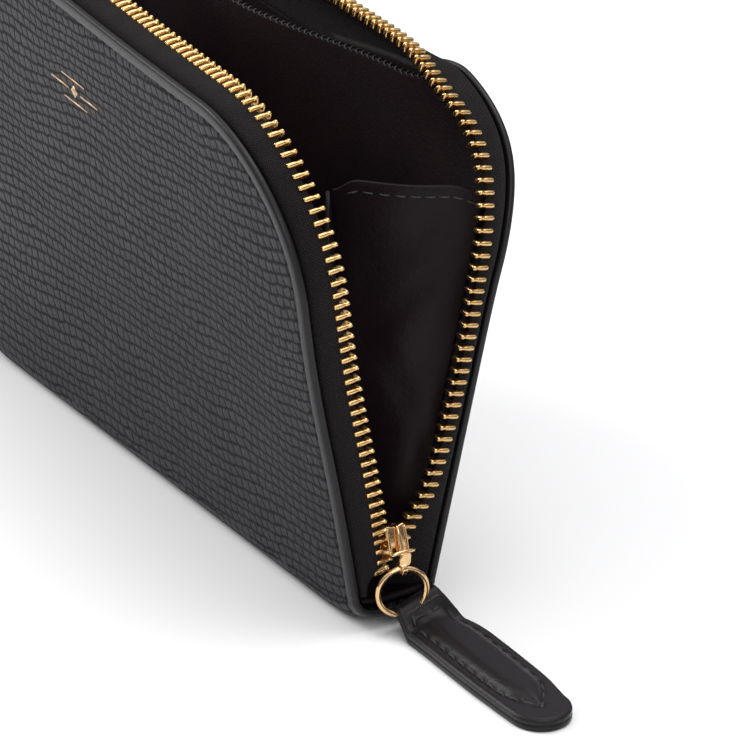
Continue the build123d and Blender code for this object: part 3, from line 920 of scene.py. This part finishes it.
def make_slider():
    low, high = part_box("slider_body")
    bottom, top = low[2], high[2]
    middle = (bottom + top) / 2
    face_in = HALF_LENGTH + 0.7 * MM
    face_out = face_in + 0.7 * MM

    def upright(y, z, x):
        """The body leans in towards its top, as the rows do."""
        return (x - 0.32 * (z - middle + 0.5 * MM), y, z)

    outer = [(-1.5, 3.2), (1.5, 3.2), (1.8, 5.0), (2.0, 7.0), (1.6, 7.8), (0.6, 7.5), (-0.6, 7.5),
             (-1.6, 7.8), (-2.0, 7.0), (-1.8, 5.0)]
    inner = [(-2.0, 1.3), (2.0, 1.3), (2.6, 2.6), (2.6, 5.6), (2.0, 6.4), (-2.0, 6.4), (-2.6, 5.6),
             (-2.6, 2.6)]
    plates = (("plate_out", outer, face_in, face_out, 0.18),
              ("plate_in", inner, low[0], low[0] + 0.75 * MM, 0.16))
    parts = []
    for name, shape, start, stop, bevel in plates:
        outline = [(y * MM, bottom + z * MM) for y, z in shape]
        parts.append(extrude_outline(name, outline, start, stop, upright, bevel * MM))
    post = [(0.8 * math.cos(a) * MM, bottom + 5.9 * MM + 1.2 * math.sin(a) * MM)
            for a in np.linspace(0, 2 * math.pi, 16, endpoint=False)]
    parts.append(extrude_outline("post", post, low[0] + 0.4 * MM, face_in + 0.1 * MM, upright, 0))
    for sign in (-1, 1):
        rail = [upright(sign * 1.6 * MM, bottom + z * MM, face_out - 0.05 * MM)
                for z in np.linspace(3.4, 7.4, 12)]
        parts.append(tube("rail", rail, 0.28 * MM, 10, up=(0, 1, 0)))
    bridge = spline([(65.9, 18.5), (66.5, 18.35), (67.0, 17.6), (67.6, 16.2), (68.0, 15.2), (68.1, 14.6),
                     (67.7, 14.1), (67.0, 14.0)], 36) * MM
    parts.append(tube("bridge", [(x, 0.1 * MM, z) for x, z in bridge], 0.34 * MM, 12, up=(0, 1, 0)))
    slider = join("slider", parts)
    finish_piece(slider, GILT, "gilt_metal", "slider", "slider_body")


LINK_PIVOT = np.array(JOINTS["link_lift"]["pos_m"])
EYE = np.array(JOINTS["ring_swing"]["pos_m"])
RING_AXIS = -np.array(JOINTS["ring_swing"]["axis"])
RING_LOW = np.array(JOINTS["tab_swing"]["pos_m"])
RING_RADIUS = (EYE[2] - RING_LOW[2]) / 2
HANGS_OVER = np.array([0.0, -0.6 * MM, 0.0])
RING_CENTRE = (EYE + RING_LOW) / 2 + HANGS_OVER
RING_WIRE = 0.5 * MM


def make_link():
    """A flat tapered link: a curved bar under the bridge, a plate, and a folded eye round the ring."""
    along = (EYE - LINK_PIVOT) / np.linalg.norm(EYE - LINK_PIVOT)
    across = np.array([0.0, 1.0, 0.0])
    lift = np.cross(across, -along)
    lift = lift * np.sign(lift[0])

    def to_frame(u, v, w):
        return LINK_PIVOT + along * u + across * (v - 0.16 * max(u - MM, 0)) + lift * w

    reach = np.linalg.norm(EYE - LINK_PIVOT) / MM
    wings = [to_frame((0.8 + 0.25 * t**2) * MM, t * 2.2 * MM, (0.15 - 0.35 * t**2) * MM)
             for t in np.linspace(-1, 1, 21)]
    taper = 0.36 * MM * np.sqrt(np.clip(1 - (np.linspace(-1, 1, 21) * 0.93) ** 4, 0.05, 1))
    parts = [tube("wings", wings, taper, 12, flat=0.85, up=lift)]
    u = np.linspace(0.9, reach - 0.5, 14)
    half = np.interp(u, [0.9, 1.6, reach - 0.9, reach - 0.5], [0.8, 1.05, 1.0, 0.7])
    v = np.linspace(-1, 1, 7)
    points = np.array([[to_frame(a * MM, h * b * MM, (0.5 - 0.1 * b * b) * MM) for b in v]
                       for a, h in zip(u, half)])
    plate = thicken(grid_object("plate", points, u[:, None] * MM, v[None, :] * MM), 0.5 * MM, 0.0)
    parts.append(soften(plate, 0.12 * MM, 3))
    turns = np.linspace(math.radians(150), math.radians(-190), 30)
    eye_line = [EYE + HANGS_OVER + (along * math.cos(a) + lift * math.sin(a)) * 0.88 * MM for a in turns]
    eye = np.array([[point + across * b * 0.5 * MM for b in np.linspace(-1, 1, 7)] for point in eye_line])
    eye = grid_object("eye", eye, np.arange(30)[:, None] * MM, np.arange(7)[None, :] * MM)
    parts.append(soften(thicken(eye, 0.4 * MM, 0.0), 0.1 * MM, 3))
    link = join("pull_link_plate", parts)
    finish_piece(fix_normals(link), GILT, "gilt_metal", "pull_link", "pull_link")


def make_ring():
    turns = np.linspace(0, 2 * math.pi, 72, endpoint=False)
    line = [RING_CENTRE + RING_RADIUS * (RING_AXIS * math.cos(a) + np.array([0, 0, 1.0]) * math.sin(a))
            for a in turns]
    facing = np.cross(RING_AXIS, [0, 0, 1])
    ring = tube("ring", line, RING_WIRE, 16, closed=True, up=facing)
    finish_piece(ring, GILT, "gilt_metal", "pull_ring", "pull_ring")


TAB_AXIS = JOINTS["tab_swing"]["axis"]
TAB_ALONG = np.array([-TAB_AXIS[1], TAB_AXIS[0], 0.0])
TAB_ACROSS = np.array([-TAB_ALONG[1], TAB_ALONG[0], 0.0])
TAB_ORIGIN = np.array([RING_LOW[0], 3.2 * MM, 0.0])
UPWARD = np.array([0, 0, 1.0])
TAB_START = -1.9 * MM
TAB_END = 41.2 * MM
TAB_TIP = 5.8 * MM
TAB_EDGE = 2.5 * MM
PAD_TOP = 3.75 * MM
CROSS_SEAM = 1.3 * MM


def tab_middle(u):
    """The tab's middle line, by the distance out from the ring."""
    return smooth_through(u, [(-2, -1.1), (1, -0.9), (4, 0.35), (9, 0.75), (15, 0.55), (23, 0.2), (29, -0.05),
                              (35.4, -0.6), (42, -0.9)])


def tab_half_width(u):
    """Half the tab's width: strap, shoulders, long sides."""
    return smooth_through(u, [(-2, 3.7), (0.6, 3.85), (2.0, 4.4), (3.6, 5.2), (7, 5.7), (12, 5.9), (22, 5.9),
                              (29, 5.7), (35.4, 5.15)])


def seam_half_width(u):
    """Half the width between the seams, which meet in a point before the tip."""
    t = np.clip((np.asarray(u, float) - 28.5 * MM) / (8.2 * MM), 0, 1.2)
    return (tab_half_width(u) - 1.85 * MM) * (1 - t**1.9)


def tab_outline():
    """The tab's outline in along and across, anticlockwise from the strap's bend."""
    tip_centre = TAB_END - TAB_TIP
    u = np.concatenate([TAB_START + 1.3 * MM * np.linspace(0, 1, 9)[:-1] ** 2,
                        np.linspace(TAB_START + 1.3 * MM, tip_centre, 60)])
    right = np.stack([u, tab_middle(u) - tab_half_width(u)], -1)
    left = np.stack([u, tab_middle(u) + tab_half_width(u)], -1)
    turn = np.linspace(-math.pi / 2, math.pi / 2, 34)[1:-1]
    tip = np.stack([tip_centre + TAB_TIP * np.cos(turn) ** 0.94,
                    tab_middle(tip_centre) + tab_half_width(tip_centre) * np.sin(turn)], -1)
    start = np.stack([np.full(12, TAB_START), np.linspace(left[0, 1], right[0, 1], 14)[1:-1]], -1)
    return np.concatenate([right, tip, left[::-1], start])


def tab_lift(u, v):
    """How far the strap rises to reach the ring, more on its far side."""
    roll = 1.3 * MM * np.clip(v / (3.7 * MM), -1, 1) * (1 - ease((u - 0.5 * MM) / (4.4 * MM)))
    return 4.1 * MM * (1 - ease(u / (4.3 * MM))) + roll


def tab_to_frame(u, v, z):
    """A point of the tab as it lies flat, with the strap's lift and the round of its bend put in."""
    u, v, z = np.broadcast_arrays(u, v, z)
    t = np.clip((u - TAB_START) / (1.25 * MM), 0.004, 1)
    z = TAB_EDGE / 2 + (z - TAB_EDGE / 2) * np.sqrt(1 - (1 - t) ** 2) + tab_lift(u, v)
    return TAB_ORIGIN + u[..., None] * TAB_ALONG + v[..., None] * TAB_ACROSS + z[..., None] * UPWARD


def make_tab():
    """The stitched pull: a folded strap, thick painted edge, sewn margin and a padded middle."""
    edge = tab_outline()
    along_spine = np.clip(edge[:, 0], TAB_START + 5 * MM, TAB_END - 5.4 * MM)
    spine = np.stack([along_spine, tab_middle(along_spine)], -1)
    reach = np.linalg.norm(spine - edge, axis=1)

    depths = np.array([0, 0.06, 0.16, 0.35, 0.7, 1.05, 1.35, 1.55, 1.7, 1.85, 2.0, 2.2, 2.5, 2.9, 3.4, 4.0,
                       4.6]) * MM
    rows = [edge + (spine - edge) * np.minimum(d / reach, 1)[:, None] for d in depths] + [spine]
    true_depth = [np.minimum(d, reach) for d in depths] + [reach]

    def top_height(u, v, d):
        into_pad = np.minimum(seam_half_width(u) - np.abs(v - tab_middle(u)),
                              1.1 * (u - CROSS_SEAM - 0.9 * MM))
        pad = (PAD_TOP - TAB_EDGE) * np.sin(np.clip(into_pad / (2.7 * MM), 0, 1) * math.pi / 2) ** 0.8
        dimple = 0.6 + 0.4 * np.cos(u * 2 * math.pi / (3.0 * MM))
        groove = -0.42 * MM * dimple * bump_at(into_pad, 0.0, 0.42 * MM) * (u > CROSS_SEAM)
        round_over = -0.30 * MM * np.exp(-(d / (0.16 * MM)))
        return TAB_EDGE + pad + groove + round_over

    top = np.array([tab_to_frame(r[:, 0], r[:, 1], top_height(r[:, 0], r[:, 1], d))
                    for r, d in zip(rows, true_depth)])
    arc = line_length(edge)
    bottom_rows = [edge + (spine - edge) * t for t in (0.0, 0.05, 0.3, 0.65, 1.0)]
    bottom = np.array([tab_to_frame(r[:, 0], r[:, 1], (0.25 if i == 0 else 0.03) * MM)
                       for i, r in enumerate(bottom_rows)])

    levels = np.array([0.2, 0.5, 0.85, 1.1, 1.22, 1.34, 1.6, 1.95, 2.2]) * MM
    swell = np.array([0.0, 0.10, 0.12, 0.06, -0.05, 0.06, 0.12, 0.10, 0.02]) * MM
    outward = edge - spine
    outward /= np.linalg.norm(outward, axis=1)[:, None]
    wall = np.array([tab_to_frame(*(edge + outward * w).T, z) for z, w in zip(levels, swell)])
    everything = np.concatenate([top[::-1], wall[::-1], bottom])
    depth_uv = np.arange(len(everything))[:, None] * 0.3 * MM
    tab = grid_object("pull_tab", everything, arc[None, :], depth_uv, close_columns=True)
    edit = bmesh.new()
    edit.from_mesh(tab.data)
    bmesh.ops.remove_doubles(edit, verts=edit.verts, dist=0.004 * MM)
    bmesh.ops.recalc_face_normals(edit, faces=edit.faces)
    edit.to_mesh(tab.data)
    edit.free()
    shade_smooth(tab.data)
    tab.data.materials.append(TAB)
    tab.data.materials.append(EDGE_PAINT)
    for face in tab.data.polygons:
        u, v = face.center.x - TAB_ORIGIN[0], face.center.y - TAB_ORIGIN[1]
        on_edge = face.center.z < TAB_EDGE + tab_lift(u, v) - 0.05 * MM
        if abs(face.normal.z) < 0.5 and on_edge and u > 0.5 * MM:
            face.material_index = 1
    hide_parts("pull_tab_top", "pull_tab_bottom", "pull_tab_loop", "pull_tab_filler")
    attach(tab, "pull_tab")

    seam_u = np.linspace(CROSS_SEAM, 36.6 * MM, 200)
    seam_v = seam_half_width(seam_u)
    run = np.concatenate([np.stack([seam_u, -seam_v], -1), np.stack([seam_u, seam_v], -1)[::-1]])
    length = line_length(run)

    def side_point(s):
        u, v = np.interp(s, length, run[:, 0]), np.interp(s, length, run[:, 1])
        return tab_to_frame(u, v + tab_middle(u), TAB_EDGE - 0.08 * MM)

    def cross_point(s):
        return tab_to_frame(CROSS_SEAM, tab_middle(CROSS_SEAM) + s, TAB_EDGE - 0.12 * MM)

    def upward(_):
        return UPWARD

    stations = np.arange(1.2 * MM, length[-1] - 1.0 * MM, 3.0 * MM)
    frames = surface_frames(side_point, stations, 0.2 * MM, upward)
    frames += surface_frames(cross_point, np.arange(-2.4 * MM, 2.5 * MM, 1.6 * MM), 0.2 * MM, upward)
    make_stitches("pull_tab_stitches", frames, "pull_tab", 2.3 * MM, 0.26 * MM, "pull_tab_thread")


def make_foil_mark():
    """A generic gilt device on the front: a lozenge between two rules."""
    middle_x, middle_h = -10.4 * MM, 72.5 * MM
    marks = []

    def on_cover(x, h, lift):
        x, h = middle_x + x, middle_h + h
        return leather("front", x, h, HALF_THICK + swell_at(x, h) + 0.03 * MM + lift)

    shapes = [
        [(-8.5, -0.14), (-2.2, -0.14), (-2.2, 0.14), (-8.5, 0.14)],
        [(2.2, -0.14), (8.5, -0.14), (8.5, 0.14), (2.2, 0.14)],
        [(-4.2, 2.1), (4.2, 2.1), (4.2, 2.35), (-4.2, 2.35)],
        [(-4.2, -2.35), (4.2, -2.35), (4.2, -2.1), (-4.2, -2.1)],
        [(-1.2, 0), (0, -1.2), (1.2, 0), (0, 1.2)],
    ]
    for shape in shapes:
        outline = [(x * MM, h * MM) for x, h in shape]
        marks.append(extrude_outline("mark", outline, -0.2 * MM, 0.03 * MM, on_cover, 0))
    device = join("foil_device", marks)
    finish_piece(device, FOIL, "gilt_metal", "front_half")


# ---- stage
def make_stage():
    size = 1.6
    floor = make_object("floor", [(-size, -size, 0), (size, -size, 0), (size, size, 0), (-size, size, 0)],
                        [(0, 1, 2, 3)])
    floor.data.materials.append(floor_material())

    bpy.context.scene.view_settings.view_transform = "Standard"
    world = bpy.data.worlds.new("studio")
    bpy.context.scene.world = world
    world.use_nodes = True
    tree = world.node_tree
    where = tree.nodes.new("ShaderNodeTexCoord")
    parts = tree.nodes.new("ShaderNodeSeparateXYZ")
    tree.links.new(where.outputs["Generated"], parts.inputs[0])
    brightness = ((0.0, 0.05), (0.25, 0.18), (0.55, 0.85), (1.0, 1.35))
    sky = colour_ramp(tree, parts.outputs["Z"], [(place_at, (v, v, v * 1.02)) for place_at, v in brightness])
    tree.links.new(sky, tree.nodes["Background"].inputs["Color"])
    tree.nodes["Background"].inputs["Strength"].default_value = 0.86

    def area(name, place_at, target, size, power):
        light = bpy.data.lights.new(name, "AREA")
        light.shape = "DISK"
        light.size = size
        light.energy = power
        lamp = link_object(name, light)
        lamp.location = place_at
        direction = Vector(target) - Vector(place_at)
        lamp.rotation_euler = direction.to_track_quat("-Z", "Y").to_euler()

    area("overhead", (0.10, 0.15, 0.75), (0.02, 0, 0.03), 0.55, 2.6)
    area("key_left", (-0.55, -0.45, 0.55), (0, 0, 0.04), 0.45, 4.6)
    area("fill_right", (0.75, -0.20, 0.45), (0.05, 0, 0.02), 0.35, 1.5)


def make_camera():
    """The camera looks along the purse from its slider end, well back, through a long lens."""
    azimuth, elevation = math.radians(58.55), math.radians(25.65)
    distance = 1143.97 * MM
    target = Vector((59.7 * MM, 0, 43.47 * MM))
    back = Vector((math.sin(azimuth) * math.cos(elevation), -math.cos(azimuth) * math.cos(elevation),
                   math.sin(elevation)))
    data = bpy.data.cameras.new("camera")
    data.lens = 336
    data.sensor_width = 36
    data.clip_start, data.clip_end = 0.05, 20
    camera = link_object("camera", data)
    camera.location = target + back * distance
    camera.rotation_mode = "QUATERNION"
    camera.rotation_quaternion = (-back).to_track_quat("-Z", "Y")
    bpy.context.scene.camera = camera


make_camera()
make_stage()
for side in ("front", "back"):
    make_cover(side)
    make_edge_stitches(side)
    make_lining(side)
    make_tape(side)
    make_teeth(side)
    make_stop(side + "_top_stop_clip", side, CHAIN - 9.2 * MM, side + "_top_stop")
make_stop("bottom_stop_clip", "front", 9.2 * MM, "zip_bottom_stop")
make_base()
make_pocket()
make_gusset(1, "right")
make_gusset(-1, "left")
make_slider()
make_link()
make_ring()
make_tab()
make_foil_mark()
